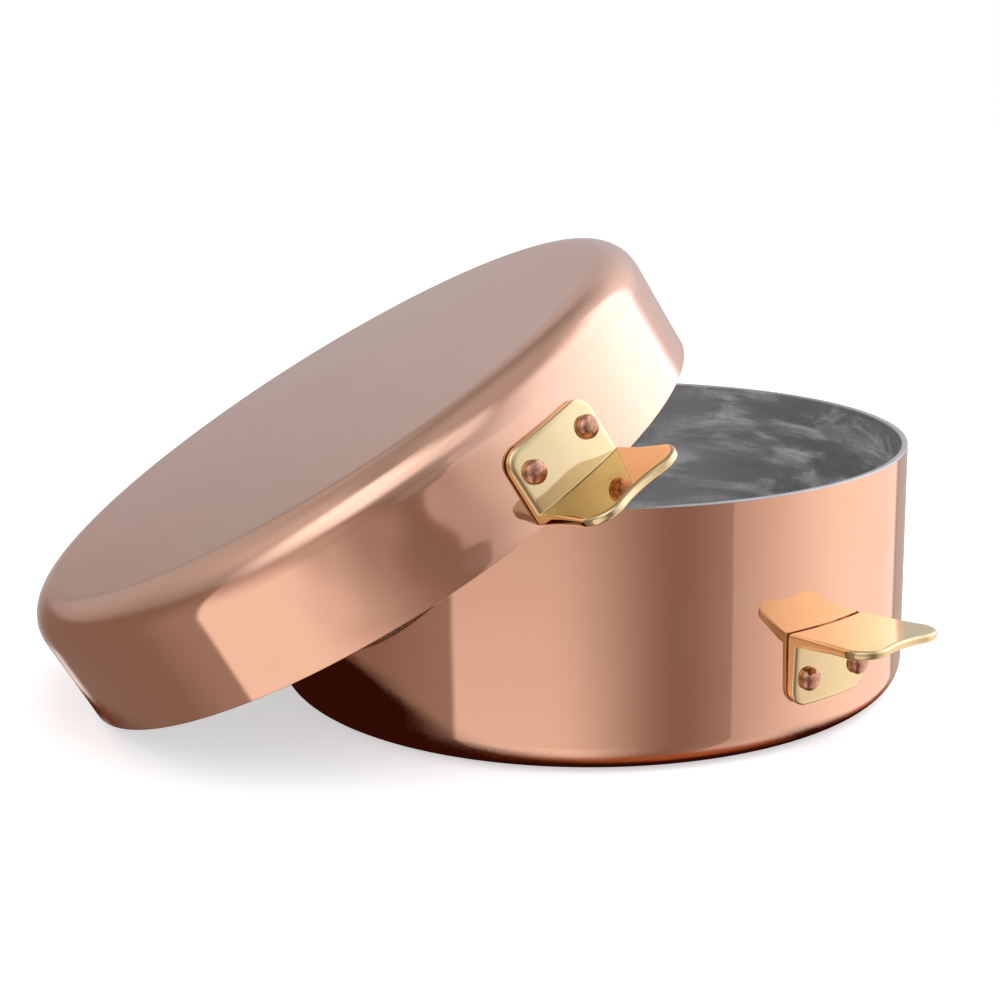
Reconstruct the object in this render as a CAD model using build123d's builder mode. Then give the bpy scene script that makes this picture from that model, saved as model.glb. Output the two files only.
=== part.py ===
from build123d import *
import os
from math import atan2, cos, degrees, radians, sin, sqrt

# A round two-part copper pan: a deep pan and a cover that fits down over it, both tinned inside, each with
# two brass tab handles riveted on. The cover leans on the pan's rim with its lower edge on the table.
# The origin is the centre of the pan's base, +Z is up, and the cover leans towards -X.
# All lengths are in millimetres and all angles in degrees.

# Pan
pan_inner_radius = 100.0
pan_height = 77.0
pan_corner = 8.0  # outer radius between wall and base
pan_copper = 1.7
pan_tin = 0.3

# Lid, and the way it leans
lid_height = 40.0
lid_corner = 12.0
lid_copper = 1.2
lid_tin = 0.3
lid_ease = 6.0  # radial room between the lid's lining and the pan's wall
lean_angle = 30.0
lean_gap = 0.3  # left free where the lid leans on the rim

# Handles: a plate against the wall, and a flat tab that stands out from the plate's upper end
pan_handle_turn = -59.5  # direction of the front handle about the pan's axis
lid_handle_turn = 61.9  # the same about the lid's axis, from the lid's highest side
pan_tab_level = 36.2  # top of the pan's tabs at the wall, above its base
lid_tab_drop = 1.0  # from the lid's rim to its tabs at the wall
plate_width = 32.5
plate_height = 21.9
plate_thickness = 3.2
plate_corner = 5.5
tab_reach = 28.6  # from the wall to the tips of the two lobes
tab_thickness = 3.4
tab_tilt = 2.4  # rise of the tabs towards their tips
lobe_radius = 7.5
lobe_overhang = 1.35  # how far each lobe stands out beyond the plate's side
dip_radius = 30.0  # hollow between the lobes
edge_round = 1.0

# Rivets
rivet_inset = 5.45  # from the plate's sides to the rivets
rivet_drop = 13.7  # from the tab's root to the rivets
shank_radius = 2.4
head_radius = 3.7
head_flank = 0.9  # straight side of the outer head
head_height = 3.0
inner_head_radius = 4.2
inner_head_height = 1.3

# Fits
tin_fit = 0.02  # between copper and tin
wall_fit = 0.05  # between a handle's plate and the wall
rivet_fit = 0.05  # between a shank and its hole
seat_fit = 0.02  # under a rivet's heads
rim_round = 0.5  # inner edge of the tinned rim

pan_radius = pan_inner_radius + pan_tin + pan_copper
lid_inner_radius = pan_radius + lid_ease
lid_radius = lid_inner_radius + lid_tin + lid_copper
lobe_spread = plate_width + 2 * (lobe_overhang - lobe_radius)
rivet_spread = plate_width - 2 * rivet_inset

# The lid's mouth: its centre is as high as puts the lowest edge on the table, and as far along X as the
# first contact allows, either the lid's inner edge on the rim or the lid's ceiling on the rim's left end.
lean = radians(lean_angle)
mouth_z = lid_radius * sin(lean)
slope_to_rim = (pan_height + lean_gap - mouth_z) / sin(lean)
half_crossing = sqrt(lid_inner_radius**2 - slope_to_rim**2)
rim_crossing = sqrt(max(pan_radius**2 - half_crossing**2, 0))
edge_limit = -rim_crossing - slope_to_rim * cos(lean)
lid_depth = lid_height - lid_copper - lid_tin - lean_gap
ceiling_limit = (lid_depth - (pan_height - mouth_z) * cos(lean)) / sin(lean) - pan_radius
mouth_x = min(edge_limit, ceiling_limit)

# Each vessel is modelled standing on its closed end, with its mouth up. The lid's own upright is turned
# over, and tilted by the lean.
pan_base = Plane.XY
lid_up = Vector(-sin(lean), 0, cos(lean))
lid_slope = Vector(cos(lean), 0, sin(lean))
lid_base = Plane(Vector(mouth_x, 0, mouth_z) + lid_up * lid_height, x_dir=lid_slope, z_dir=-lid_up)

os.makedirs("parts", exist_ok=True)


def turned(base, angle, level=0.0):
    return Plane(base * Location((0, 0, level), (0, 0, angle)))


def rivet_spots(base, handle_angle, radius, level):
    half = degrees(rivet_spread / 2 / (radius + plate_thickness))
    return [turned(base, handle_angle + side * half, level - rivet_drop) for side in (-1, 1)]


def rivet_holes(spots):
    with BuildSketch(*[spot * Plane.YZ for spot in spots]) as holes:
        Circle(shank_radius + rivet_fit)
    return holes.sketch


def make_shell(base, radius, height, corner, copper, tin, spots):
    rim = height - tin - tin_fit
    with BuildPart() as shell:
        with BuildSketch(base * Plane.XZ) as section:
            with BuildLine():
                Polyline((0, 0), (radius, 0), (radius, rim), (radius - copper, rim),
                         (radius - copper, copper), (0, copper), close=True)
            make_face()
            fillet(section.vertices().sort_by_distance((radius, 0))[0], corner)
            fillet(section.vertices().sort_by_distance((radius - copper, copper))[0], corner - copper)
        revolve(axis=Axis(base.origin, base.z_dir))
        extrude(rivet_holes(spots), amount=radius, mode=Mode.SUBTRACT)
    return shell.part


def make_lining(base, radius, height, corner, copper, tin, spots):
    outside = radius - copper - tin_fit
    inside = radius - copper - tin
    seat = copper + tin_fit
    floor = copper + tin
    with BuildPart() as lining:
        with BuildSketch(base * Plane.XZ) as section:
            with BuildLine():
                Polyline((0, seat), (outside, seat), (outside, height - tin), (radius, height - tin),
                         (radius, height), (inside, height), (inside, floor), (0, floor), close=True)
            make_face()
            fillet(section.vertices().sort_by_distance((outside, seat))[0], corner - seat)
            fillet(section.vertices().sort_by_distance((inside, floor))[0], corner - floor)
            fillet(section.vertices().sort_by_distance((inside, height))[0], rim_round)
        revolve(axis=Axis(base.origin, base.z_dir))
        extrude(rivet_holes(spots), amount=radius, mode=Mode.SUBTRACT)
    return lining.part


def make_handle(base, radius, level, angle, spots):
    spot = turned(base, angle)
    face = radius + plate_thickness
    half_width = plate_width / 2
    half_spread = lobe_spread / 2
    lobe_x = tab_reach - lobe_radius
    # The tab's side leaves the plate square to it and flares out on an arc that runs into the lobe, and
    # an arc of the other hand joins the two lobes.
    inset = half_width - half_spread
    run = lobe_x - plate_thickness
    flare_radius = (inset**2 + run**2 - lobe_radius**2) / (2 * (lobe_radius - inset))
    flare_angle = degrees(atan2(run, flare_radius + inset))
    dip_x = lobe_x + sqrt((lobe_radius + dip_radius) ** 2 - half_spread**2)
    dip_angle = degrees(atan2(half_spread, dip_x - lobe_x))
    tab_plane = Plane(spot * Location((radius, 0, level), (0, -tab_tilt, 0)))
    with BuildPart() as handle:
        with BuildSketch(spot * Plane.YZ) as plate:
            with Locations((0, level - plate_height)):
                Rectangle(plate_width, plate_height - tab_thickness / 2, align=(Align.CENTER, Align.MIN))
            fillet(plate.vertices().group_by(Axis.Y)[0], plate_corner)
        extrude(amount=face)
        with BuildSketch(spot):
            Circle(face)
        extrude(amount=level, mode=Mode.INTERSECT)
        with BuildSketch(tab_plane):
            with BuildLine():
                root = Polyline((-plate_thickness, 0), (-plate_thickness, half_width),
                                (plate_thickness, half_width))
                flare = JernArc(root @ 1, (1, 0), flare_radius, flare_angle)
                lobe = JernArc(flare @ 1, flare % 1, lobe_radius, -(flare_angle + 90 + dip_angle))
                JernArc(lobe @ 1, lobe % 1, dip_radius, dip_angle)
                mirror(about=Plane.XZ)
            make_face()
        extrude(amount=-tab_thickness)
        with BuildSketch(spot):
            Circle(radius + wall_fit)
        extrude(amount=level + tab_thickness, mode=Mode.SUBTRACT)
        tab_top = handle.faces().sort_by(Axis(base.origin, base.z_dir))[-1]
        fillet(tab_top.edges().sort_by_distance(spot.offset(level).origin)[1:], edge_round)
        extrude(rivet_holes(spots), amount=face, mode=Mode.SUBTRACT)
    return handle.part


def make_rivet(spot, radius, wall):
    wall_inside = radius - wall
    outer_seat = radius + plate_thickness + seat_fit
    inner_seat = sqrt(wall_inside**2 - inner_head_radius**2) - seat_fit
    with BuildPart() as rivet:
        with BuildSketch(spot * Plane.XZ):
            with BuildLine():
                inner_tip = (inner_seat - inner_head_height, 0)
                outer_tip = (outer_seat + head_height, 0)
                shoulder = (outer_seat + head_flank, head_radius)
                inner_dome = TangentArc(inner_tip, (inner_seat, inner_head_radius), tangent=(0, 1))
                outer_dome = TangentArc(outer_tip, shoulder, tangent=(0, 1))
                Polyline(inner_dome @ 1, (inner_seat, shank_radius), (outer_seat, shank_radius),
                         (outer_seat, head_radius), shoulder)
                Line(inner_tip, outer_tip)
            make_face()
        revolve(axis=Axis(spot.origin, spot.x_dir))
    return rivet.part


def write(part, name):
    part.label = name
    export_step(part, f"parts/{name}.step")
    print(name, round(part.volume, 1))


def make_vessel(name, base, radius, height, corner, copper, tin, level, handle_turn):
    handle_angles = {"front": handle_turn, "rear": handle_turn + 180}
    spots = {side: rivet_spots(base, angle, radius, level) for side, angle in handle_angles.items()}
    all_spots = spots["front"] + spots["rear"]
    write(make_shell(base, radius, height, corner, copper, tin, all_spots), f"{name}_shell")
    write(make_lining(base, radius, height, corner, copper, tin, all_spots), f"{name}_lining")
    for side, angle in handle_angles.items():
        write(make_handle(base, radius, level, angle, spots[side]), f"{name}_handle_{side}")
        for hand, spot in zip(("left", "right"), spots[side]):
            write(make_rivet(spot, radius, copper + tin), f"{name}_rivet_{side}_{hand}")


make_vessel("pan", pan_base, pan_radius, pan_height, pan_corner, pan_copper, pan_tin, pan_tab_level,
            pan_handle_turn)
make_vessel("lid", lid_base, lid_radius, lid_height, lid_corner, lid_copper, lid_tin,
            lid_height - lid_tab_drop, lid_handle_turn)
print("centre of the lid's mouth", round(mouth_x, 3), round(mouth_z, 3))
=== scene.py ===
from math import atan2, cos, degrees, hypot, pi, radians, sin, sqrt, tan

import bpy
from mathutils import Matrix, Vector, noise


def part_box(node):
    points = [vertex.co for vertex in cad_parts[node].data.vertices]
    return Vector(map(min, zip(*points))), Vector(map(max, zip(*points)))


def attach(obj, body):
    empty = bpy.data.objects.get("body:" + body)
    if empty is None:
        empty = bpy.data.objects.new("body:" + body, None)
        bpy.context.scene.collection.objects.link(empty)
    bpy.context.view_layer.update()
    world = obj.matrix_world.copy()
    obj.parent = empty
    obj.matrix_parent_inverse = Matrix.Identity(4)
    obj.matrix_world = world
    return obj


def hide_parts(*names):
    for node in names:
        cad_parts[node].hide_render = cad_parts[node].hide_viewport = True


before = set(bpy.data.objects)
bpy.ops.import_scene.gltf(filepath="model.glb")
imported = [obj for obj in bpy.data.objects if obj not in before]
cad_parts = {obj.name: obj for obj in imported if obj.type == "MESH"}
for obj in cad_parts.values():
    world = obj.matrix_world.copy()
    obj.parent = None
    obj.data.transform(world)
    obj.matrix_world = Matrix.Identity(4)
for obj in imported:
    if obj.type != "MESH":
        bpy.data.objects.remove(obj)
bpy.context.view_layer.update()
scene = bpy.context.scene
print("frame loaded:", len(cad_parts), "nodes")


# Each vessel is made standing on its closed end with its mouth up, and then put in its place. Lengths are
# in metres, turns in degrees about the vessel's own axis. The lid's dents are one area of soft knocks on
# its wall, and their shift moves the pattern within it.
pan = {
    "name": "pan",
    "radius": 0.102,
    "height": 0.077,
    "corner": 0.008,
    "copper": 0.0017,
    "tin": 0.0003,
    "tabLevel": 0.0362,
    "handleTurn": -59.5,
    "waviness": 0.00003,
}
lid = {
    "name": "lid",
    "radius": 0.1095,
    "height": 0.040,
    "corner": 0.012,
    "copper": 0.0012,
    "tin": 0.0003,
    "tabLevel": 0.039,
    "handleTurn": 61.9,
    "waviness": 0.00011,
    "lean": 30.0,
    "dents": {"turn": 87.0, "spread": 27.0, "depth": 0.00075, "length": 0.0120, "shift": (3.1, 0.4, 7.7)},
}
lathe = {
    "segments": 320,
    "wallRows": 26,
    "floorRows": 22,
    "cornerRows": 14,
    "lipRound": 0.00018,
    "lipShare": 0.6,  # the most of the tin's thickness that the lip's outer edge rounds off
    "rimRound": 0.0005,
    "tinFit": 0.00002,
    "hold": 0.0003,
    "waveLength": 0.026,
    "wavesBelowRim": 0.001,
    "wavesEase": 0.006,
}
handle = {
    "width": 0.0325,
    "height": 0.0219,
    "thickness": 0.0032,
    "corner": 0.0055,
    "reach": 0.0286,
    "tabThickness": 0.0034,
    "tilt": 2.4,
    "lobeRadius": 0.0075,
    "lobeSpread": 0.0202,
    "dipRadius": 0.030,
    "plateDraft": 0.0007,
    "tabDraft": 0.0008,
    "plateRound": 0.0020,
    "plateRoundDeep": 0.0008,
    "edge": 0.0011,
    "rootEdge": 0.35,
    "crease": 0.00025,
    "hold": 0.0002,
    "wallFit": 0.00005,
    "backEdge": 0.0005,
    "unevenness": 0.00003,
    "unevenLength": 0.012,
    "bendShadeReach": 0.0002,  # how far inside the plate's front the darker brass of the bend, painted shade, starts
    "steps": 44,
}
rivet = {
    "spacing": 0.0216,
    "drop": 0.0137,
    "shank": 0.0024,
    "headRadius": 0.0035,
    "flank": 0.0009,
    "headHeight": 0.0030,
    "innerRadius": 0.0042,
    "innerHeight": 0.0013,
    "seatFit": 0.00002,
    "segments": 48,
    "seatShare": 0.94,
    "seatRise": 0.0003,
    "dents": 0.00006,
    "dentLength": 0.0026,
    "dentFill": 1.3,
    "dentMiddle": 0.0015,
    "dentEase": 0.001,
}


def placeOfLid(sizes):
    # The lid leans on the pan's rim, so its mouth is found from the lean and from its box in the frame.
    lean = radians(sizes["lean"])
    slope = Vector((cos(lean), 0, sin(lean)))
    up = Vector((-sin(lean), 0, cos(lean)))
    low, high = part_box("lid_shell")
    flat = sizes["radius"] - sizes["corner"]
    rise = sizes["height"] - sizes["corner"]
    mouth = Vector((low[0] + sizes["corner"] + flat * cos(lean) + rise * sin(lean), 0,
                    high[2] - sizes["corner"] - flat * sin(lean) - rise * cos(lean)))
    top = mouth + up * sizes["height"]
    across = (-up).cross(slope)
    turn = Matrix((slope, across, -up)).transposed().to_4x4()
    return Matrix.Translation(top) @ turn


pan["place"] = Matrix.Identity(4)
lid["place"] = placeOfLid(lid)
print("lid's closed end at", [round(v, 4) for v in lid["place"].translation])


# Mesh helpers
def straight(start, end, steps, hold=0.0):
    # Points from the start up to, but not including, the end. A hold adds one point close to each end, which
    # keeps the shading of the straight part clear of the curves beside it.
    shares = [i / steps for i in range(steps)]
    if hold:
        close = hold / hypot(end[0] - start[0], end[1] - start[1])
        shares = [0.0, close] + shares[1:] + [1 - close]
    return [tuple(a + (b - a) * share for a, b in zip(start, end)) for share in shares]


def arc(centre, radius, fromAngle, toAngle, steps):
    angles = [radians(fromAngle + (toAngle - fromAngle) * i / steps) for i in range(steps)]
    return [(centre[0] + radius * cos(a), centre[1] + radius * sin(a)) for a in angles]


def welded(points, faces):
    # Merges points in the same place, and leaves out the faces that shrink to nothing.
    seen, kept, renamed = {}, [], []
    for point in points:
        key = tuple(round(c * 1e7) for c in point[:3])
        if key not in seen:
            seen[key] = len(kept)
            kept.append(point)
        renamed.append(seen[key])
    whole = []
    for face in faces:
        turned = [renamed[i] for i in face]
        outline = [i for i, before in zip(turned, turned[-1:] + turned[:-1]) if i != before]
        if len(set(outline)) > 2:
            whole.append(outline)
    return kept, whole


def finishPiece(name, points, faces, vessel, materials, creaseAngle=40.0, faceMaterials=None, shadeAndSoil=None):
    mesh = bpy.data.meshes.new(name)
    mesh.from_pydata([vessel["place"] @ Vector(p) for p in points], [], faces)
    place = mesh.attributes.new("place", "FLOAT_VECTOR", "POINT")
    place.data.foreach_set("vector", [c for p in points for c in p])
    # A mask of dirt and painted shade, for the handles' seam and crease.
    if shadeAndSoil:
        mesh.attributes.new("shadeAndSoil", "FLOAT", "POINT").data.foreach_set("value", shadeAndSoil)
    for material in materials:
        mesh.materials.append(material)
    if faceMaterials:
        mesh.polygons.foreach_set("material_index", faceMaterials)
    mesh.shade_smooth()
    mesh.set_sharp_from_angle(angle=radians(creaseAngle))
    piece = bpy.data.objects.new(name, mesh)
    scene.collection.objects.link(piece)
    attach(piece, vessel["name"])
    return piece


def spun(profile, segments):
    # Turns a section that starts and ends on the axis into points and faces.
    points = [(0.0, 0.0, profile[0][1])]
    for radius, height in profile[1:-1]:
        for i in range(segments):
            turn = 2 * pi * i / segments
            points.append((radius * cos(turn), radius * sin(turn), height))
    points.append((0.0, 0.0, profile[-1][1]))
    rings = len(profile) - 2
    faces = []
    last = len(points) - 1
    for i in range(segments):
        j = (i + 1) % segments
        faces.append((0, 1 + j, 1 + i))
        for ring in range(rings - 1):
            near = 1 + ring * segments
            far = near + segments
            faces.append((near + i, near + j, far + j, far + i))
        end = 1 + (rings - 1) * segments
        faces.append((end + i, end + j, last))
    return points, faces


# Material helpers
def addNode(tree, kind, settings=None, inputs=None):
    made = tree.nodes.new(kind)
    for name, value in (settings or {}).items():
        setattr(made, name, value)
    for name, value in (inputs or {}).items():
        if isinstance(value, bpy.types.NodeSocket):
            tree.links.new(value, made.inputs[name])
        else:
            made.inputs[name].default_value = value
    return made


def maths(tree, operation, first, second=0.0, clamp=False):
    made = addNode(tree, "ShaderNodeMath", {"operation": operation, "use_clamp": clamp},
                   {0: first, 1: second})
    return made.outputs[0]


def vectorMaths(tree, operation, inputs):
    return addNode(tree, "ShaderNodeVectorMath", {"operation": operation}, inputs).outputs[0]


def ranged(tree, value, fromLow, fromHigh, toLow=0.0, toHigh=1.0, kind="SMOOTHSTEP"):
    made = addNode(tree, "ShaderNodeMapRange", {"interpolation_type": kind, "clamp": True}, {
        "Value": value, "From Min": fromLow, "From Max": fromHigh, "To Min": toLow, "To Max": toHigh})
    return made.outputs["Result"]


def blended(tree, mask, first, second):
    made = addNode(tree, "ShaderNodeMix", {"data_type": "RGBA"})
    for index, value in ((0, mask), (6, first), (7, second)):
        if isinstance(value, bpy.types.NodeSocket):
            tree.links.new(value, made.inputs[index])
        else:
            made.inputs[index].default_value = value if index == 0 else (*value, 1.0)
    return made.outputs[2]


def newGroup(name, inputs, outputs):
    group = bpy.data.node_groups.new(name, "ShaderNodeTree")
    for label, default in inputs.items():
        kind = "NodeSocketVector" if default is None else "NodeSocketFloat"
        socket = group.interface.new_socket(label, in_out="INPUT", socket_type=kind)
        if default is not None:
            socket.default_value = default
    for label in outputs:
        group.interface.new_socket(label, in_out="OUTPUT", socket_type="NodeSocketFloat")
    return group, group.nodes.new("NodeGroupInput").outputs, group.nodes.new("NodeGroupOutput").inputs


def useGroup(tree, group, inputs):
    return addNode(tree, "ShaderNodeGroup", {"node_tree": group}, inputs).outputs


def roundAxis(tree, place, size, spread, middle):
    # Coordinates that follow the vessel: the way along its section, from the middle out and up the wall, and
    # the bearing about its axis as two values, so that no seam shows. The middle is a radius in metres.
    parts = addNode(tree, "ShaderNodeSeparateXYZ", inputs={0: place}).outputs
    across = maths(tree, "SQRT", maths(tree, "ADD", maths(tree, "MULTIPLY", parts[0], parts[0]),
                                       maths(tree, "MULTIPLY", parts[1], parts[1])))
    path = maths(tree, "DIVIDE", maths(tree, "ADD", across, parts[2]), size)
    safe = maths(tree, "MAXIMUM", across, middle)
    bearing = [maths(tree, "MULTIPLY", maths(tree, "DIVIDE", parts[i], safe), spread) for i in (0, 1)]
    return path, *bearing


def makeLatheMarks():
    # Fine rings that polishing on a lathe leaves, the same all round the axis with small breaks.
    group, given, out = newGroup("latheMarks", {"Place": None, "Pitch": 0.0008, "Breaks": 3.0}, ["Height"])
    path, bearX, bearY = roundAxis(group, given["Place"], given["Pitch"], given["Breaks"], 0.001)
    where = addNode(group, "ShaderNodeCombineXYZ", inputs={0: path, 1: bearX, 2: bearY}).outputs[0]
    grain = addNode(group, "ShaderNodeTexNoise", inputs={
        "Vector": where, "Scale": 1.0, "Detail": 3.0, "Roughness": 0.6})
    group.links.new(grain.outputs["Fac"], out["Height"])
    return group


hairMarks = {
    "turns": ((0.3, 0.2, 0.5), (1.1, 0.7, 1.9), (0.6, 2.1, 2.7)),
    "slenderness": 28.0,
    "cut": (0.70, 0.78),
    "patchScale": 45.0,
    "patchFull": 0.75,
}


def makeHairScratches():
    # Short straight scratches in three directions, from stretched noise cut to thin lines.
    group, given, out = newGroup("hairScratches", {"Place": None, "Spread": 0.010, "Rarity": 0.5}, ["Mask"])
    total = 0.0
    for turn in hairMarks["turns"]:
        turned = addNode(group, "ShaderNodeVectorRotate", {"rotation_type": "EULER_XYZ"},
                         {"Vector": given["Place"], "Rotation": turn}).outputs[0]
        narrow = maths(group, "DIVIDE", given["Spread"], hairMarks["slenderness"])
        span = addNode(group, "ShaderNodeCombineXYZ", inputs={
            0: given["Spread"], 1: narrow, 2: given["Spread"]}).outputs[0]
        scaled = vectorMaths(group, "DIVIDE", {0: turned, 1: span})
        streak = addNode(group, "ShaderNodeTexNoise", inputs={"Vector": scaled, "Scale": 1.0, "Detail": 2.0})
        total = maths(group, "ADD", total, ranged(group, streak.outputs["Fac"], *hairMarks["cut"]))
    patch = addNode(group, "ShaderNodeTexNoise", inputs={
        "Vector": given["Place"], "Scale": hairMarks["patchScale"], "Detail": 2.0})
    gate = ranged(group, patch.outputs["Fac"], given["Rarity"], hairMarks["patchFull"])
    group.links.new(maths(group, "MULTIPLY", total, gate, clamp=True), out["Mask"])
    return group


def makeTarnish():
    # Slow uneven toning: broad clouds with a finer mottle inside them.
    group, given, out = newGroup("tarnish", {"Place": None, "Cloud": 0.045, "Mottle": 0.006},
                                 ["Mask", "Fine"])
    for label, size, detail in (("Mask", "Cloud", 3.0), ("Fine", "Mottle", 4.0)):
        scaled = addNode(group, "ShaderNodeTexNoise", inputs={
            "Vector": given["Place"], "Scale": maths(group, "DIVIDE", 1.0, given[size]), "Detail": detail,
            "Roughness": 0.55, "Distortion": 0.4})
        group.links.new(ranged(group, scaled.outputs["Fac"], 0.38, 0.66), out[label])
    return group


def makePits():
    # Small round pits, as in a casting or a hand-wiped tin coat.
    group, given, out = newGroup("pits", {"Place": None, "Spacing": 0.002, "Share": 0.25}, ["Mask"])
    cells = addNode(group, "ShaderNodeTexVoronoi", {"feature": "F1"}, {
        "Vector": given["Place"], "Scale": maths(group, "DIVIDE", 1.0, given["Spacing"]), "Randomness": 1.0})
    hollow = ranged(group, cells.outputs["Distance"], 0.16, 0.02)
    chosen = addNode(group, "ShaderNodeSeparateXYZ", inputs={0: cells.outputs["Color"]}).outputs[0]
    gate = maths(group, "LESS_THAN", chosen, given["Share"])
    group.links.new(maths(group, "MULTIPLY", hollow, gate), out["Mask"])
    return group


def makeWipeStreaks():
    # Streaks that run round the vessel, where melted tin was wiped with a rag.
    group, given, out = newGroup("wipeStreaks", {"Place": None, "Width": 0.004, "Length": 3.0},
                                 ["Mask", "Fine"])
    path, bearX, bearY = roundAxis(group, given["Place"], given["Width"], given["Length"], 0.004)
    for label, finer, detail in (("Mask", 1.0, 4.0), ("Fine", 6.0, 5.0)):
        where = addNode(group, "ShaderNodeCombineXYZ", inputs={
            0: maths(group, "MULTIPLY", path, finer), 1: bearX, 2: bearY}).outputs[0]
        smear = addNode(group, "ShaderNodeTexNoise", inputs={
            "Vector": where, "Scale": 1.0, "Detail": detail, "Roughness": 0.6, "Distortion": 0.6})
        group.links.new(ranged(group, smear.outputs["Fac"], 0.35, 0.68), out[label])
    return group


latheMarks = makeLatheMarks()
hairScratches = makeHairScratches()
tarnish = makeTarnish()
pits = makePits()
wipeStreaks = makeWipeStreaks()
print("surface effects built")


def startMaterial(name):
    material = bpy.data.materials.new(name)
    material.use_nodes = True
    tree = material.node_tree
    shader = tree.nodes["Principled BSDF"]
    shader.inputs["Metallic"].default_value = 1.0
    place = addNode(tree, "ShaderNodeAttribute", {"attribute_name": "place"}).outputs["Vector"]
    return material, tree, shader, place


def addBumps(tree, shader, bumps):
    # Lays height maps on each other. Each has its own depth in metres.
    normal = None
    for height, depth in bumps:
        inputs = {"Height": height, "Distance": depth, "Strength": 1.0}
        if normal is not None:
            inputs["Normal"] = normal
        normal = addNode(tree, "ShaderNodeBump", inputs=inputs).outputs["Normal"]
    tree.links.new(normal, shader.inputs["Normal"])


copperMarks = {
    "rings": {"Pitch": 0.0009, "Breaks": 2.5},
    "scratches": {"Spread": 0.012, "Rarity": 0.48},
    "tone": {"Cloud": 0.05, "Mottle": 0.007},
    "mottleShare": 0.5,
    "scratchShare": 1.2,
    "waveScale": 42.0,
}
panCopper = {
    "colour": (0.955, 0.575, 0.405),
    "toned": (0.925, 0.520, 0.345),
    "toning": 0.35,
    "gloss": 0.035,
    "haze": 0.025,
    "ringDepth": 0.0000008,
    "scratchDepth": 0.0000012,
    "waveDepth": 0.00002,
}
lidCopper = {
    "colour": (0.955, 0.580, 0.415),
    "toned": (0.925, 0.525, 0.350),
    "toning": 0.35,
    "gloss": 0.045,
    "haze": 0.030,
    "ringDepth": 0.0000008,
    "scratchDepth": 0.0000015,
    "waveDepth": 0.00005,
}


def makeCopper(name, look):
    material, tree, shader, place = startMaterial(name)
    rings = useGroup(tree, latheMarks, {"Place": place, **copperMarks["rings"]})["Height"]
    scratches = useGroup(tree, hairScratches, {"Place": place, **copperMarks["scratches"]})["Mask"]
    tone = useGroup(tree, tarnish, {"Place": place, **copperMarks["tone"]})
    toneMask = maths(tree, "MULTIPLY", tone["Mask"], look["toning"])
    colour = blended(tree, toneMask, look["colour"], look["toned"])
    tree.links.new(colour, shader.inputs["Base Color"])
    haze = maths(tree, "ADD", maths(tree, "MULTIPLY", tone["Fine"], copperMarks["mottleShare"]),
                 maths(tree, "MULTIPLY", scratches, copperMarks["scratchShare"]))
    haze = maths(tree, "MULTIPLY", haze, look["haze"])
    tree.links.new(maths(tree, "ADD", haze, look["gloss"]), shader.inputs["Roughness"])
    wave = addNode(tree, "ShaderNodeTexNoise", inputs={
        "Vector": place, "Scale": copperMarks["waveScale"], "Detail": 1.0})
    addBumps(tree, shader, [(wave.outputs["Fac"], look["waveDepth"]), (rings, look["ringDepth"]),
                            (scratches, look["scratchDepth"])])
    return material


tinLook = {
    "light": (0.95, 0.95, 0.94),
    "dark": (0.66, 0.66, 0.65),
    "smooth": 0.34,
    "rough": 0.60,
    "wiping": {"Width": 0.006, "Length": 2.6},
    "clouds": {"Width": 0.013, "Length": 2.4},
    "mottle": {"Cloud": 0.027, "Mottle": 0.0022},
    "spots": {"Spacing": 0.0034, "Share": 0.14},
    "shift": (0.0, 0.0, 0.024),  # moves the clouds' pattern off that of the wiping
    "fineShare": 0.35,
    "cloudStart": 0.15,
    "cloudFull": 0.90,
    "mottled": 0.75,
    "streakRange": (0.10, 0.80),
    "streakLeast": 0.45,
    "streakBloom": 0.24,
    "spotBloom": 0.6,
    "dull": 0.2,  # the bloom above which the tin stops being a clean metal
    "streakDepth": 0.00002,
    "fineDepth": 0.000006,
    "pitDepth": 0.00002,
}


def makeTin(name, look):
    material, tree, shader, place = startMaterial(name)
    wiped = useGroup(tree, wipeStreaks, {"Place": place, **look["wiping"]})
    shifted = vectorMaths(tree, "ADD", {0: place, 1: look["shift"]})
    broad = useGroup(tree, wipeStreaks, {"Place": shifted, **look["clouds"]})["Mask"]
    mottle = useGroup(tree, tarnish, {"Place": shifted, **look["mottle"]})["Fine"]
    spots = useGroup(tree, pits, {"Place": place, **look["spots"]})["Mask"]
    # The bloom is dull pale tin. It is thickest in the clouds, and the wiping has drawn it into streaks.
    streaked = maths(tree, "ADD", maths(tree, "MULTIPLY", wiped["Mask"], 1 - look["fineShare"]),
                     maths(tree, "MULTIPLY", wiped["Fine"], look["fineShare"]))
    cloud = maths(tree, "MULTIPLY", ranged(tree, broad, look["cloudStart"], 1.0, 0.0, look["cloudFull"]),
                  ranged(tree, mottle, 0.0, 1.0, 1.0, look["mottled"], "LINEAR"))
    drawn = ranged(tree, streaked, *look["streakRange"], look["streakLeast"], 1.0, "LINEAR")
    bloom = maths(tree, "ADD", maths(tree, "MULTIPLY", cloud, drawn),
                  maths(tree, "MULTIPLY", streaked, look["streakBloom"]))
    bloom = maths(tree, "SUBTRACT", bloom, maths(tree, "MULTIPLY", spots, look["spotBloom"]), clamp=True)
    tree.links.new(blended(tree, bloom, look["dark"], look["light"]), shader.inputs["Base Color"])
    tree.links.new(ranged(tree, bloom, 0.0, 1.0, look["smooth"], look["rough"], "LINEAR"),
                   shader.inputs["Roughness"])
    tree.links.new(ranged(tree, bloom, look["dull"], 1.0, 1.0, 0.0, "LINEAR"), shader.inputs["Metallic"])
    addBumps(tree, shader, [(wiped["Mask"], look["streakDepth"]), (wiped["Fine"], look["fineDepth"]),
                            (spots, -look["pitDepth"])])
    return material


lipLook = {
    "colour": (0.69, 0.68, 0.66),
    "toned": (0.63, 0.615, 0.59),
    "gloss": 0.24,
    "haze": 0.12,
    "tone": {"Cloud": 0.012, "Mottle": 0.0015},
    "wear": 0.0000015,
}


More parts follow.
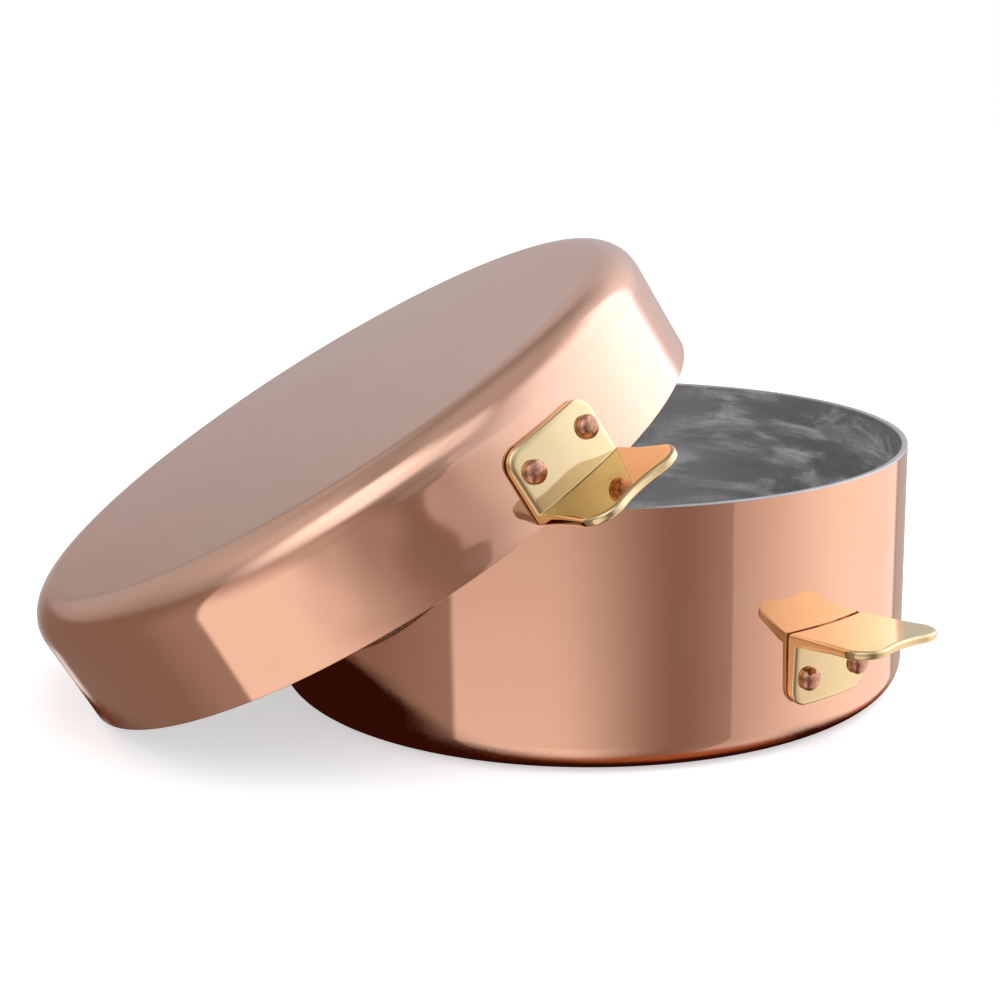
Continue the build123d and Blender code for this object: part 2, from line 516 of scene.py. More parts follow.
def makeLip(name, look):
    # The pan's tinned rim, rubbed bright by the lid.
    material, tree, shader, place = startMaterial(name)
    tone = useGroup(tree, tarnish, {"Place": place, **look["tone"]})
    tree.links.new(blended(tree, tone["Mask"], look["colour"], look["toned"]), shader.inputs["Base Color"])
    haze = maths(tree, "MULTIPLY", maths(tree, "ADD", tone["Mask"], tone["Fine"]), look["haze"] / 2)
    tree.links.new(maths(tree, "ADD", haze, look["gloss"]), shader.inputs["Roughness"])
    addBumps(tree, shader, [(tone["Fine"], look["wear"])])
    return material


brassMarks = {
    "tone": {"Cloud": 0.016, "Mottle": 0.0018},
    "scratches": {"Spread": 0.007, "Rarity": 0.40},
    "pits": {"Spacing": 0.0045, "Share": 0.18},
    "toning": 0.30,
    "pitToning": 0.6,
    "mottleShare": 0.6,
    # How patchy the dirt and painted shade in the seam and crease is, and how much rougher it is there.
    "shadeAndSoilTone": (0.0, 0.6),
    "shadeAndSoilLeast": 0.55,
    "shadeAndSoilHaze": 0.4,
    "waveScale": 130.0,
    "waveDepth": 0.00003,
}
brassLook = {
    "colour": (0.860, 0.690, 0.390),
    "toned": (0.780, 0.580, 0.270),
    # The dark colour of the dirt and painted shade in the seam and crease.
    "shadeAndSoil": (0.150, 0.052, 0.020),
    "gloss": 0.05,
    "haze": 0.04,
    "fileDepth": 0.0000018,
    "pitDepth": 0.00002,
}
# A darker brass for the bend and the tab's underside: painted shade.
bendShadeLook = {
    "colour": (0.680, 0.490, 0.220),
    "toned": (0.540, 0.350, 0.120),
    "shadeAndSoil": (0.150, 0.052, 0.020),
    "gloss": 0.05,
    "haze": 0.05,
    "fileDepth": 0.0000022,
    "pitDepth": 0.00003,
}


def makeBrass(name, look):
    material, tree, shader, place = startMaterial(name)
    tone = useGroup(tree, tarnish, {"Place": place, **brassMarks["tone"]})
    scratches = useGroup(tree, hairScratches, {"Place": place, **brassMarks["scratches"]})["Mask"]
    holes = useGroup(tree, pits, {"Place": place, **brassMarks["pits"]})["Mask"]
    shade = maths(tree, "ADD", maths(tree, "MULTIPLY", tone["Mask"], brassMarks["toning"]),
                  maths(tree, "MULTIPLY", holes, brassMarks["pitToning"]), clamp=True)
    patchy = ranged(tree, tone["Mask"], *brassMarks["shadeAndSoilTone"], brassMarks["shadeAndSoilLeast"], 1.0)
    # Dirt and painted shade: the seam and crease darken the brass towards one dark colour, in patches.
    shadeAndSoil = addNode(tree, "ShaderNodeAttribute", {"attribute_name": "shadeAndSoil"}).outputs["Fac"]
    shadeAndDirt = maths(tree, "MULTIPLY", shadeAndSoil, patchy, clamp=True)
    clean = blended(tree, shade, look["colour"], look["toned"])
    tree.links.new(blended(tree, shadeAndDirt, clean, look["shadeAndSoil"]), shader.inputs["Base Color"])
    haze = maths(tree, "ADD", maths(tree, "MULTIPLY", tone["Fine"], brassMarks["mottleShare"]), scratches)
    haze = maths(tree, "ADD", maths(tree, "MULTIPLY", haze, look["haze"]),
                 maths(tree, "MULTIPLY", shadeAndDirt, brassMarks["shadeAndSoilHaze"]))
    tree.links.new(maths(tree, "ADD", haze, look["gloss"]), shader.inputs["Roughness"])
    wave = addNode(tree, "ShaderNodeTexNoise", inputs={
        "Vector": place, "Scale": brassMarks["waveScale"], "Detail": 1.0})
    addBumps(tree, shader, [(wave.outputs["Fac"], brassMarks["waveDepth"]), (scratches, look["fileDepth"]),
                            (holes, -look["pitDepth"])])
    return material


rivetLook = {
    "bright": (0.72, 0.37, 0.25),
    "dark": (0.30, 0.13, 0.075),
    "smooth": 0.07,
    "rough": 0.17,
    "tone": {"Cloud": 0.0032, "Mottle": 0.0007},
    "pits": {"Spacing": 0.0009, "Share": 0.35},
    "toning": 0.55,
    "mottling": 0.30,
    "pitToning": 0.4,
    "dentDepth": 0.00002,
    "grainDepth": 0.000004,
}


def makeRivetCopper(name, look):
    material, tree, shader, place = startMaterial(name)
    tone = useGroup(tree, tarnish, {"Place": place, **look["tone"]})
    holes = useGroup(tree, pits, {"Place": place, **look["pits"]})["Mask"]
    shade = maths(tree, "ADD", maths(tree, "MULTIPLY", tone["Mask"], look["toning"]),
                  maths(tree, "MULTIPLY", tone["Fine"], look["mottling"]))
    shade = maths(tree, "ADD", shade, maths(tree, "MULTIPLY", holes, look["pitToning"]), clamp=True)
    tree.links.new(blended(tree, shade, look["bright"], look["dark"]), shader.inputs["Base Color"])
    tree.links.new(ranged(tree, shade, 0.0, 1.0, look["smooth"], look["rough"], "LINEAR"),
                   shader.inputs["Roughness"])
    addBumps(tree, shader, [(tone["Mask"], -look["dentDepth"]), (tone["Fine"], -look["grainDepth"]),
                            (holes, -look["grainDepth"])])
    return material


panCopperFinish = makeCopper("panCopper", panCopper)
lidCopperFinish = makeCopper("lidCopper", lidCopper)
tinFinish = makeTin("wipedTin", tinLook)
lipFinish = makeLip("tinnedLip", lipLook)
brassFinish = makeBrass("castBrass", brassLook)
bendShadeFinish = makeBrass("bendShadeBrass", bendShadeLook)
rivetFinish = makeRivetCopper("forgedRivet", rivetLook)
print("materials built")


# Shells and linings
def waved(points, vessel):
    # Hand planishing leaves the outer skin a little uneven. It only ever dips inward.
    moved = []
    dents = vessel.get("dents")
    top = vessel["height"] - lathe["wavesBelowRim"]
    for x, y, z in points:
        across = hypot(x, y)
        if across > vessel["radius"] - vessel["copper"] / 2 and z < top:
            spot = Vector((x, y, z)) / lathe["waveLength"]
            dip = vessel["waviness"] * (0.5 + 0.5 * noise.noise(spot))
            away = abs(degrees(atan2(y, x)) - dents["turn"]) / dents["spread"] if dents else 1.0
            if away < 1:
                knock = noise.noise(Vector((x, y, z)) / dents["length"] + Vector(dents["shift"]))
                dip += dents["depth"] * (1 - away ** 2) ** 2 * (0.5 + 0.5 * knock)
            scale = 1 - dip * min(1.0, (top - z) / lathe["wavesEase"]) / across
            x, y = x * scale, y * scale
        moved.append((x, y, z))
    return moved


def makeShell(vessel, material):
    radius, corner, copper = vessel["radius"], vessel["corner"], vessel["copper"]
    rim = vessel["height"] - vessel["tin"] - lathe["tinFit"]
    inner = corner - copper
    hold = lathe["hold"]
    profile = straight((0, 0), (radius - corner, 0), lathe["floorRows"], hold)
    profile += arc((radius - corner, corner), corner, -90, 0, lathe["cornerRows"])
    profile += straight((radius, corner), (radius, rim), lathe["wallRows"], hold)
    profile += [(radius, rim)]
    profile += straight((radius - copper, rim), (radius - copper, corner), lathe["wallRows"], hold)
    profile += arc((radius - corner, corner), inner, 0, -90, lathe["cornerRows"])
    profile += straight((radius - corner, copper), (0, copper), lathe["floorRows"], hold)
    profile += [(0, copper)]
    points, faces = spun(profile, lathe["segments"])
    piece = finishPiece(f"{vessel['name']}_copper", waved(points, vessel), faces, vessel, [material])
    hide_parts(f"{vessel['name']}_shell")


def makeLining(vessel, material, lipMaterial):
    radius, corner, height = vessel["radius"], vessel["corner"], vessel["height"]
    outside = radius - vessel["copper"] - lathe["tinFit"]
    inside = radius - vessel["copper"] - vessel["tin"]
    seat = vessel["copper"] + lathe["tinFit"]
    floor = vessel["copper"] + vessel["tin"]
    under = height - vessel["tin"]
    lip = min(lathe["lipRound"], vessel["tin"] * lathe["lipShare"])
    rimRound = min(lathe["rimRound"], (radius - inside) / 3)
    hold = lathe["hold"]
    profile = straight((0, seat), (radius - corner, seat), lathe["floorRows"], hold)
    profile += arc((radius - corner, corner), outside - radius + corner, -90, 0, lathe["cornerRows"])
    profile += straight((outside, corner), (outside, under), lathe["wallRows"], hold)
    profile += straight((outside, under), (radius, under), 2)
    profile += straight((radius, under), (radius, height - lip), 1)
    profile += arc((radius - lip, height - lip), lip, 0, 90, 3)
    profile += straight((radius - lip, height), (inside + rimRound, height), 2)
    profile += arc((inside + rimRound, height - rimRound), rimRound, 90, 180, 5)
    profile += straight((inside, height - rimRound), (inside, corner), lathe["wallRows"], hold)
    profile += arc((radius - corner, corner), inside - radius + corner, 0, -90, lathe["cornerRows"])
    profile += straight((radius - corner, floor), (0, floor), lathe["floorRows"], hold)
    profile += [(0, floor)]
    points, faces = spun(profile, lathe["segments"])
    onLip = [int(min(points[i][2] for i in face) > under - vessel["tin"] / 3) for face in faces]
    piece = finishPiece(f"{vessel['name']}_tin", points, faces, vessel, [material, lipMaterial], 40.0, onLip)
    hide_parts(f"{vessel['name']}_lining")


# Handles: one loft of loops, each a front line and a back line along the wall with as many points
def frontOfPlate(radius, width, up, moreFace):
    # Half of the plate's front line at one height, from its side to its middle. The front rounds off
    # towards the plate's outline.
    half, corner, steps = handle["width"] / 2, handle["corner"], handle["steps"]
    edge, deep = handle["plateRound"], handle["plateRoundDeep"]
    shortOfTab = 1 - up / (handle["height"] - handle["tabThickness"])
    full = radius + handle["thickness"] - handle["plateDraft"] * shortOfTab + moreFace
    inward = [edge * (1 - cos(radians(9 * i))) for i in range(11)] + [edge + handle["hold"]]
    rest = steps - len(inward)
    inward += [inward[-1] + (width - inward[-1]) * (i + 1) / rest for i in range(rest)]
    line = []
    for span in inward:
        y = width - span
        side, low = y - half + corner, corner - up
        near = corner - hypot(side, low) if side > 0 and low > 0 else min(half - y, up)
        short = max(edge - max(near, 0.0), 0.0)
        face = full - deep + deep * sqrt(1 - (short / edge) ** 2)
        line.append((sqrt(face ** 2 - y ** 2), y))
    return line


def frontOfTab(radius, inset):
    # Half of the tab's edge from its root to its middle. The flare, lobe and dip are tangent arcs, and
    # the inset moves them all inward by the same step.
    face = radius + handle["thickness"]
    half, spread = handle["width"] / 2, handle["lobeSpread"] / 2
    lobe, steps = handle["lobeRadius"], handle["steps"]
    lobeX = radius + handle["reach"] - lobe
    step, run = half - spread, lobeX - face
    flare = (step ** 2 + run ** 2 - lobe ** 2) / (2 * (lobe - step))
    flareAngle = degrees(atan2(run, flare + step))
    dipX = lobeX + sqrt((lobe + handle["dipRadius"]) ** 2 - spread ** 2)
    dipAngle = degrees(atan2(spread, dipX - lobeX))
    flareSteps, dipSteps = steps // 4, steps // 5
    lobeSteps = steps - flareSteps - dipSteps
    points = arc((face, half + flare), flare + inset, -90, flareAngle - 90, flareSteps)
    points += arc((lobeX, spread), lobe - inset, 90 + flareAngle, -dipAngle, lobeSteps)
    points += arc((dipX, 0), handle["dipRadius"] + inset, 180 - dipAngle, 180, dipSteps - 1)
    points.append((dipX - handle["dipRadius"] - inset, 0.0))
    return points


def loopAround(radius, sideHalf, halfFront, backCut=0.0):
    # Joins a half front line, its mirror image and the straight sides to a back line along the wall. The
    # sides round off towards the wall, and the back cut moves the whole back line off it.
    wall, edge = radius + handle["wallFit"] + backCut, handle["backEdge"]
    cornerX = sqrt(wall ** 2 - (sideHalf - edge) ** 2)
    turns = [radians(a) for a in (0, 30, 60)]
    bend = [(cornerX + edge * (1 - cos(turn)), sideHalf - edge * (1 - sin(turn))) for turn in turns]
    side = straight((cornerX + edge, sideHalf), halfFront[0], 2, handle["hold"])
    half = bend + side + halfFront
    front = half + [(x, -y) for x, y in reversed(half[:-1])]
    count = len(front)
    back = []
    for i in range(count):
        y = (sideHalf - edge) * (1 - 2 * i / (count - 1))
        back.append((sqrt(wall ** 2 - y ** 2), y))
    return front, back


def handleLoops(radius, level):
    # Lists each loop with its height, its share of the tab's tilt, its place from the tab's underside to
    # its top, and how much dirt and painted shade the crease holds there.
    half, edge, corner = handle["width"] / 2, handle["edge"], handle["corner"]
    crease, hold, thick = handle["crease"], handle["hold"], handle["tabThickness"]
    bottom = level - handle["height"]
    underTab = level - thick
    turns = [radians(15 * i) for i in range(7)]
    loops = []

    def plateLoop(height, moreFace=0.0, shadeAndDirt=0.0):
        up = height - bottom
        short = corner - up
        width = half - corner + sqrt(corner ** 2 - short ** 2) if short > 0 else half
        tilted = max(0.0, min(1.0, (up - corner) / (underTab - crease - bottom - corner)))
        front, back = loopAround(radius, width, frontOfPlate(radius, width, up, moreFace))
        loops.append((front, back, height, tilted, 0.0, shadeAndDirt))

    def tabLoop(height, inset, easeRoot):
        line = []
        for i, (a, b) in enumerate(zip(frontOfTab(radius, 0.0), frontOfTab(radius, inset))):
            share = min(1.0, i / (handle["steps"] // 5))
            share = share if easeRoot else handle["rootEdge"] + (1 - handle["rootEdge"]) * share
            line.append(tuple(p + (q - p) * share for p, q in zip(a, b)))
        backCut = 0.0 if easeRoot else inset / edge * handle["backEdge"]
        sideHalf = half if easeRoot else half - inset * handle["rootEdge"]
        front, back = loopAround(radius, sideHalf, line, backCut)
        loops.append((front, back, height, 1.0, (height - underTab) / thick, 0.0))

    for turn in turns:
        plateLoop(bottom + handle["plateRound"] * (1 - cos(turn)))
    plateLoop(bottom + handle["plateRound"] + hold)
    for share in (0.46, 0.6, 0.8, 1.0):
        plateLoop(bottom + corner * share)
    for share in (0.25, 0.5, 0.75):
        plateLoop(bottom + corner + (underTab - crease - bottom - corner) * share)
    plateLoop(underTab - crease - hold)
    for turn in turns[::2]:
        plateLoop(underTab - crease + crease * sin(turn), crease * (1 - cos(turn)), sin(2 * turn))
    plateLoop(underTab, crease + hold)
    tabLoop(underTab, edge + hold, True)
    for turn in turns:
        tabLoop(underTab + edge * (1 - cos(turn)), edge * (1 - sin(turn)), True)
    for turn in reversed(turns):
        tabLoop(level - edge * (1 - cos(turn)), edge * (1 - sin(turn)), False)
    return loops


def coverRows(front, back):
    # Rows between a front line and a back line, for the flat ends of the loft.
    rows = [front]
    for share in (0.0, 0.25, 0.5, 0.75, 1.0):
        row = []
        for a, b in zip(front, back):
            length = hypot(b[0] - a[0], b[1] - a[1])
            near = min(0.2, handle["hold"] / length) if length else 0.0
            row.append(tuple(p + (q - p) * min(max(share, near), 1 - near) for p, q in zip(a, b)))
        rows.append(row)
    return rows + [back]


def makeHandle(vessel, side, turn):
    loops = handleLoops(vessel["radius"], vessel["tabLevel"])
    count = len(loops[0][0])
    points, faces = [], []

    def addLine(line, loop, onWall=False):
        # Dirt and painted shade, one dark colour, fill the seam along the wall and the crease between plate
        # and tab.
        height, tilted, raised, shadeAndDirt = loop[2:]
        for i, (x, y) in enumerate(line):
            inSeam = onWall or i < 3 or i >= count - 3
            inCrease = x - vessel["radius"] > handle["thickness"] - handle["crease"]
            points.append((x, y, height, tilted, raised, 1.0 if inSeam else shadeAndDirt * inCrease))

    for loop in loops:
        addLine(loop[0], loop)
        addLine(loop[1][-2:0:-1], loop, True)
    size = 2 * count - 2
    for layer in range(len(loops) - 1):
        low, high = layer * size, (layer + 1) * size
        for i in range(size):
            j = (i + 1) % size
            faces.append((low + j, low + i, high + i, high + j))
    for loop, onTop in ((loops[0], False), (loops[-1], True)):
        rows = coverRows(*loop[:2])
        first = len(points)
        for row in rows:
            addLine(row, loop, row is rows[-1])
        for row in range(len(rows) - 1):
            near, far = first + row * count, first + (row + 1) * count
            for i in range(count - 1):
                sheet = (near + i, near + i + 1, far + i + 1, far + i)
                faces.append(sheet[::-1] if onTop else sheet)
    spin = Matrix.Rotation(radians(turn), 3, "Z")
    slope = tan(radians(handle["tilt"]))
    thinning = handle["tabDraft"] / handle["reach"]
    placed = []
    for x, y, z, tilted, raised, shadeAndDirt in points:
        spot = Vector((x, y, z + turn)) / handle["unevenLength"]
        pull = handle["unevenness"] * (0.5 + 0.5 * noise.noise(spot))
        out = x - vessel["radius"]
        z += out * (slope + thinning * (1 - raised)) * tilted - pull * raised
        x -= pull * max(0.0, min(1.0, out / handle["thickness"]))
        placed.append((*(spin @ Vector((x, y, z))), shadeAndDirt))
    placed, faces = welded(placed, faces)
    # The bend and the tab's underside get a darker brass: painted shade under the tab.
    reach = vessel["radius"] + handle["thickness"] - handle["bendShadeReach"]
    top = vessel["tabLevel"] - handle["tabThickness"] - handle["crease"] / 2
    inBendShade = []
    for face in faces:
        corners = [placed[i] for i in face]
        outward = min(hypot(c[0], c[1]) for c in corners) > reach
        low = max(c[2] - (hypot(c[0], c[1]) - vessel["radius"]) * (slope + thinning) for c in corners)
        inBendShade.append(int(outward and top < low < top + handle["crease"]))
    node = f"{vessel['name']}_handle_{side}"
    piece = finishPiece(f"{node}_brass", [p[:3] for p in placed], faces, vessel, [brassFinish, bendShadeFinish],
                        faceMaterials=inBendShade, shadeAndSoil=[p[3] for p in placed])
    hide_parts(node)


def makeRivet(vessel, side, hand, turn):
    # A rivet is turned about the line that it goes in along. Its outer head is dented by the hammer.
    wallInside = vessel["radius"] - vessel["copper"] - vessel["tin"]
    draft = handle["plateDraft"] * (1 - (handle["height"] - rivet["drop"] - rivet["headRadius"])
                                    / (handle["height"] - handle["tabThickness"]))
    outerSeat = vessel["radius"] + handle["thickness"] - draft
    innerSeat = sqrt(wallInside ** 2 - rivet["innerRadius"] ** 2) - rivet["seatFit"]
    domeHigh = rivet["headHeight"] - rivet["flank"]
    profile = []
    for i in range(11):
        angle = pi / 2 * i / 10
        profile.append((rivet["innerRadius"] * sin(angle), innerSeat - rivet["innerHeight"] * cos(angle)))
    profile += [(rivet["shank"], innerSeat), (rivet["shank"], outerSeat)]
    profile += [(rivet["headRadius"] * rivet["seatShare"], outerSeat),
                (rivet["headRadius"], outerSeat + rivet["seatRise"])]
    for i in range(15):
        angle = pi / 2 * i / 14
        profile.append((rivet["headRadius"] * cos(angle), outerSeat + rivet["flank"] + domeHigh * sin(angle)))
    profile[0], profile[-1] = (0.0, profile[0][1]), (0.0, profile[-1][1])
    points, faces = spun(profile, rivet["segments"])
    height = vessel["tabLevel"] - rivet["drop"]
    spin = Matrix.Rotation(radians(turn), 3, "Z")
    seed = Vector((turn, height * 900, 3.0 if hand == "left" else 8.0))
    placed = []
    for y, z, x in points:
        if x > outerSeat:
            dent = 0.5 + 0.5 * noise.noise(Vector((y, z, x)) / rivet["dentLength"] + seed)
            dent = rivet["dents"] * min(1.0, dent * rivet["dentFill"])
            across, middle = hypot(y, z), rivet["dentMiddle"]
            shrink = 1 - dent / max(across, middle) * min(1.0, across / middle)
            y, z, x = y * shrink, z * shrink, x - dent * min(1.0, (x - outerSeat) / rivet["dentEase"])
        placed.append(tuple(spin @ Vector((x, y, z)) + Vector((0, 0, height))))
    # The inner head is tinned over.
    tinnedTo = innerSeat + rivet["seatFit"] / 2
    tinned = [int(sum(points[i][2] for i in face) / len(face) < tinnedTo) for face in faces]
    node = f"{vessel['name']}_rivet_{side}_{hand}"
    piece = finishPiece(f"{node}_forged", placed, faces, vessel, [rivetFinish, tinFinish], 50.0, tinned)
    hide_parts(node)


def makeVessel(vessel, copperFinish, lipMaterial):
    makeShell(vessel, copperFinish)
    makeLining(vessel, tinFinish, lipMaterial)
    half = degrees(rivet["spacing"] / 2 / (vessel["radius"] + handle["thickness"]))
    for side, turn in (("front", vessel["handleTurn"]), ("rear", vessel["handleTurn"] + 180)):
        makeHandle(vessel, side, turn)
        makeRivet(vessel, side, "left", turn - half)
        makeRivet(vessel, side, "right", turn + half)
    print(vessel["name"], "built")


makeVessel(pan, panCopperFinish, lipFinish)
makeVessel(lid, lidCopperFinish, lidCopperFinish)


# Studio: what the metal mirrors is painted on the world by compass bearing and height, in degrees.
# Bearing 0 is along +X and 90 along +Y. Each panel is a soft-edged patch of light.
studio = {
    "below": (0.245, 0.178, 0.155),
    "above": (0.310, 0.295, 0.300),
    "zenith": (0.465, 0.440, 0.450),
    "horizon": (-2.0, 10.0),
    "dome": (50.0, 80.0),
}
panels = {
    "frontTable": {"bearing": (-150.5, -94), "ease": (3, 50), "height": (-80, -12), "fade": (10, 45),
                   "light": 0.70, "tint": (1.02, 0.99, 0.99)},
    "tableEdge": {"bearing": (-171, -150.5), "ease": (38, 3), "height": (-80, -12), "fade": (10, 45),
                  "light": 0.10, "tint": (1.0, 1.0, 1.0)},
    "roomEdge": {"bearing": (-66, -38), "ease": (3, 34), "height": (-10, 14), "fade": (5, 12),
                 "light": 0.17, "tint": (1.0, 0.98, 1.02)},
    "rightTable": {"bearing": (-51, 42), "ease": (1, 4), "height": (-60, -2), "fade": (12, 8),
                   "light": 0.15, "tint": (1.02, 0.99, 0.99)},
    "rightSweep": {"bearing": (-33, 40), "ease": (84, 4), "height": (-55, 9), "fade": (20, 29),
                   "light": 0.70, "tint": (1.0, 0.99, 1.02)},
    "rightGap": {"bearing": (42, 109), "ease": (4, 26), "height": (-26, 1), "fade": (5, 17),
                 "light": 0.31, "tint": (0.95, 1.0, 1.05)},
    "farTable": {"bearing": (52, 110), "ease": (6, 10), "height": (-60, -24), "fade": (10, 6),
                 "light": 0.70, "tint": (1.0, 1.0, 1.0)},
    "rightLamp": {"bearing": (13, 42), "ease": (55, 8), "height": (0, 52), "fade": (8, 22),
                  "light": 0.80, "tint": (0.92, 0.98, 1.20)},
    "rightGlow": {"bearing": (-44, 44), "ease": (77, 89), "height": (4, 63), "fade": (38, 26),
                  "light": 1.02, "tint": (0.95, 0.98, 1.10)},
    "leftLamp": {"bearing": (-149, -101), "ease": (26, 31), "height": (13, 66), "fade": (57, 26),
                 "light": 1.05, "tint": (0.97, 0.99, 1.06)},
    "leftGlow": {"bearing": (-100, -64), "ease": (21, 25), "height": (29, 69), "fade": (39, 19),
                 "light": 0.58, "tint": (0.97, 0.99, 1.08)},
    "backWall": {"bearing": (39, 103), "ease": (12, 29), "height": (-3, 42), "fade": (10, 18),
                 "light": 0.21, "tint": (0.92, 0.98, 1.12)},
    "leftWall": {"bearing": (-207, -138), "ease": (81, 25), "height": (20, 57), "fade": (37, 14),
                 "light": 0.31, "tint": (1.0, 0.98, 1.02)},
    "farWall": {"bearing": (112, 150), "ease": (13, 49), "height": (-1, 44), "fade": (6, 21),
                "light": 0.16, "tint": (0.95, 0.98, 1.08)},
}


def makeLightPanel():
    # One soft-edged patch of light. The bearing is first turned to the whole circle round the patch.
    labels = {"Bearing": 0.0, "Height": 0.0, "West": 0.0, "East": 0.0, "West Ease": 1.0, "East Ease": 1.0,
              "Low": 0.0, "High": 0.0, "Low Fade": 1.0, "High Fade": 1.0, "Light": 1.0}
    group, given, out = newGroup("lightPanel", labels, ["Light"])
    middle = maths(group, "MULTIPLY", maths(group, "ADD", given["West"], given["East"]), 0.5)
    turned = addNode(group, "ShaderNodeMath", {"operation": "WRAP"}, {
        0: given["Bearing"], 1: maths(group, "ADD", middle, 180.0),
        2: maths(group, "SUBTRACT", middle, 180.0)})
    total = given["Light"]
    for value, edge, ease, sign in ((turned.outputs[0], "West", "West Ease", 1),
                                    (turned.outputs[0], "East", "East Ease", -1),
                                    (given["Height"], "Low", "Low Fade", 1),
                                    (given["Height"], "High", "High Fade", -1)):
        half = maths(group, "MULTIPLY", given[ease], 0.5 * sign)
        start = maths(group, "SUBTRACT", given[edge], half)
        end = maths(group, "ADD", given[edge], half)
        total = maths(group, "MULTIPLY", total, ranged(group, value, start, end))
    group.links.new(total, out["Light"])
    return group


def makeWorld():
    world = bpy.data.worlds.new("studio")
    scene.world = world
    world.use_nodes = True
    tree = world.node_tree
    tree.nodes.clear()
    direction = addNode(tree, "ShaderNodeTexCoord").outputs["Generated"]
    parts = addNode(tree, "ShaderNodeSeparateXYZ", inputs={0: direction}).outputs
    bearing = maths(tree, "DEGREES", maths(tree, "ARCTAN2", parts[1], parts[0]))
    height = maths(tree, "DEGREES", maths(tree, "ARCSINE", parts[2]))
    room = blended(tree, ranged(tree, height, *studio["horizon"]), studio["below"], studio["above"])
    light = blended(tree, ranged(tree, height, *studio["dome"]), room, studio["zenith"])
    lightPanel = makeLightPanel()
    for panel in panels.values():
        patch = useGroup(tree, lightPanel, {
            "Bearing": bearing, "Height": height, "West": panel["bearing"][0], "East": panel["bearing"][1],
            "West Ease": panel["ease"][0], "East Ease": panel["ease"][1], "Low": panel["height"][0],
            "High": panel["height"][1], "Low Fade": panel["fade"][0], "High Fade": panel["fade"][1],
            "Light": panel["light"]})["Light"]
        tinted = vectorMaths(tree, "SCALE", {0: panel["tint"], "Scale": patch})
        light = vectorMaths(tree, "ADD", {0: light, 1: tinted})
    seen = addNode(tree, "ShaderNodeLightPath").outputs["Is Camera Ray"]
    shown = blended(tree, seen, light, (1.0, 1.0, 1.0))
    sky = addNode(tree, "ShaderNodeBackground", inputs={"Color": shown, "Strength": 1.0})
    out = addNode(tree, "ShaderNodeOutputWorld")
    tree.links.new(sky.outputs[0], out.inputs["Surface"])


floor = {
    "size": 8.0,
    "drop": 0.0001,
    "albedo": 0.80,
    "grain": 0.01,
    "grainScale": 400.0,
    "lift": 0.55,
    # Painted shadows that the metal sees on the paper close to the vessels: how far each reaches, its mask
    # range and its flat dark colour.
    "contactReach": 0.012,
    "contact": (0.76, 0.50),
    "contactShade": (0.42, 0.13, 0.045),
    "coverReach": 0.14,
    "cover": (0.45, 0.38),
    "coverShade": (0.030, 0.006, 0.004),
    "samples": 16,
}


def mixedShader(tree, share, first, second):
    return addNode(tree, "ShaderNodeMixShader", inputs={0: share, 1: first, 2: second}).outputs[0]


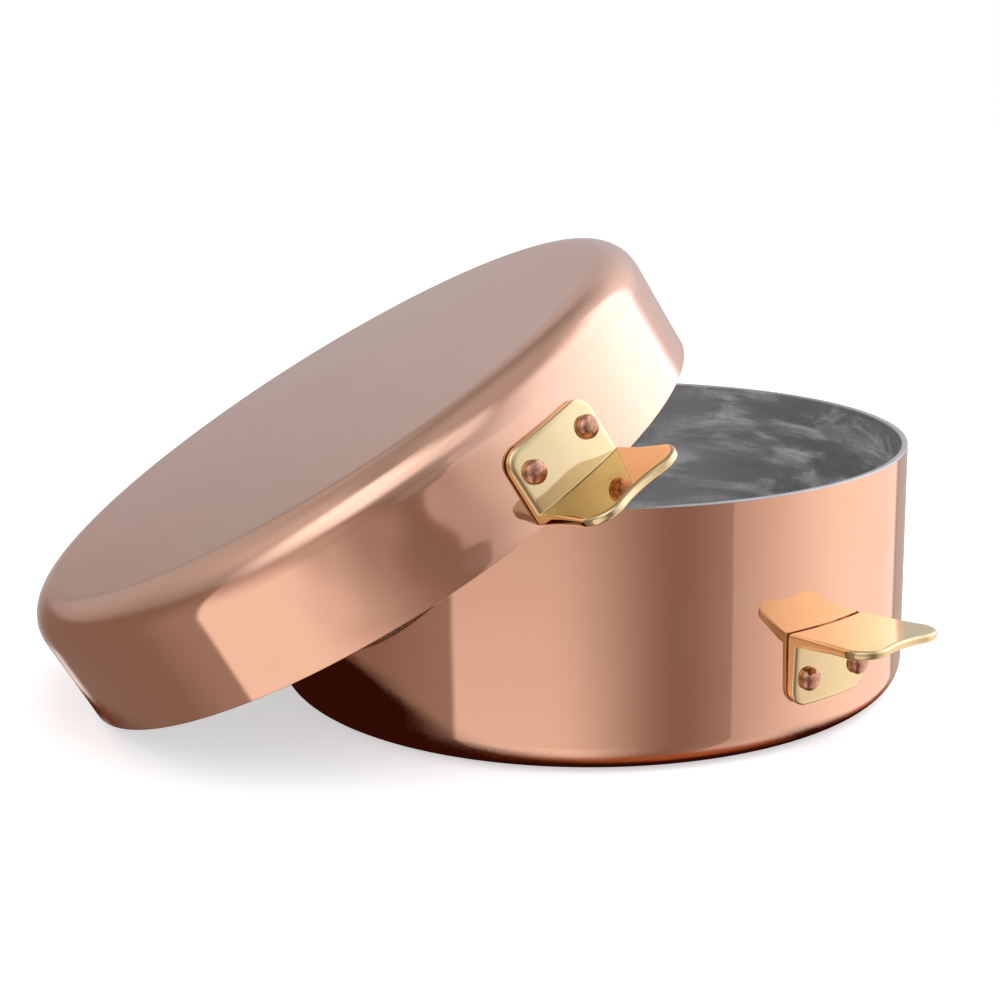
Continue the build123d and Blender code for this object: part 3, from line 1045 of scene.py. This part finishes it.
def makeFloor():
    half, level = floor["size"] / 2, -floor["drop"]
    mesh = bpy.data.meshes.new("floor")
    corners = [(-half, -half, level), (half, -half, level), (half, half, level), (-half, half, level)]
    mesh.from_pydata(corners, [], [(0, 1, 2, 3)])
    piece = bpy.data.objects.new("floor", mesh)
    scene.collection.objects.link(piece)
    material = bpy.data.materials.new("paper")
    material.use_nodes = True
    tree = material.node_tree
    tree.nodes.clear()
    paths = addNode(tree, "ShaderNodeLightPath").outputs
    grain = addNode(tree, "ShaderNodeTexNoise", inputs={"Scale": floor["grainScale"], "Detail": 2.0})
    tone = ranged(tree, grain.outputs["Fac"], 0.0, 1.0, floor["albedo"] - floor["grain"],
                  floor["albedo"] + floor["grain"], "LINEAR")
    matt = addNode(tree, "ShaderNodeBsdfDiffuse", inputs={"Color": tone}).outputs[0]
    lift = addNode(tree, "ShaderNodeEmission", inputs={"Strength": floor["lift"]}).outputs[0]
    lit = addNode(tree, "ShaderNodeAddShader", inputs={0: matt, 1: lift}).outputs[0]
    # The metal sees through the paper to the painted table, but not where the vessels stand close to it:
    # there it sees a painted shadow, a flat dark colour that glows in place of the paper.
    mirrored = addNode(tree, "ShaderNodeBsdfTransparent").outputs[0]
    for label in ("contact", "cover"):
        openness = addNode(tree, "ShaderNodeAmbientOcclusion", {"samples": floor["samples"]},
                           {"Distance": floor[label + "Reach"]}).outputs["AO"]
        shadeShare = ranged(tree, openness, *floor[label])
        # The painted shadow: a flat dark glowing colour, not lit by any lamp.
        under = addNode(tree, "ShaderNodeEmission", inputs={"Color": (*floor[label + "Shade"], 1.0)})
        mirrored = mixedShader(tree, shadeShare, mirrored, under.outputs[0])
    seenInMetal = mixedShader(tree, paths["Is Glossy Ray"], matt, mirrored)
    shown = mixedShader(tree, paths["Is Camera Ray"], seenInMetal, lit)
    out = addNode(tree, "ShaderNodeOutputMaterial")
    tree.links.new(shown, out.inputs["Surface"])
    mesh.materials.append(material)


lamp = {
    "size": 1.6,
    "power": 9.0,
    "position": (0.25, -0.25, 1.5),
}


def makeLamp():
    data = bpy.data.lights.new("overhead", "AREA")
    data.shape = "DISK"
    data.size = lamp["size"]
    data.energy = lamp["power"]
    piece = bpy.data.objects.new("overhead", data)
    piece.location = lamp["position"]
    piece.rotation_euler = (-Vector(lamp["position"])).to_track_quat("-Z", "Y").to_euler()
    piece.visible_glossy = False
    scene.collection.objects.link(piece)


makeWorld()
makeFloor()
makeLamp()
print("studio built")


camera = {
    "position": (-0.12251, -0.56312, 0.19367),
    "bearing": 9.4348,
    "down": 13.4895,
    "roll": -0.98965,
    "lens": 64.974,
    "sensor": 36.0,
}


def makeCamera():
    data = bpy.data.cameras.new("camera")
    data.lens = camera["lens"]
    data.sensor_width = camera["sensor"]
    piece = bpy.data.objects.new("camera", data)
    bearing, down, roll = (radians(camera[k]) for k in ("bearing", "down", "roll"))
    forward = Vector((sin(bearing) * cos(down), cos(bearing) * cos(down), -sin(down)))
    level = forward.cross(Vector((0, 0, 1))).normalized()
    upright = level.cross(forward)
    right = level * cos(roll) + upright * sin(roll)
    up = upright * cos(roll) - level * sin(roll)
    turn = Matrix((right, up, -forward)).transposed().to_4x4()
    piece.matrix_world = Matrix.Translation(camera["position"]) @ turn
    scene.collection.objects.link(piece)
    scene.camera = piece


makeCamera()
scene.view_settings.view_transform = "Standard"
print("camera set")
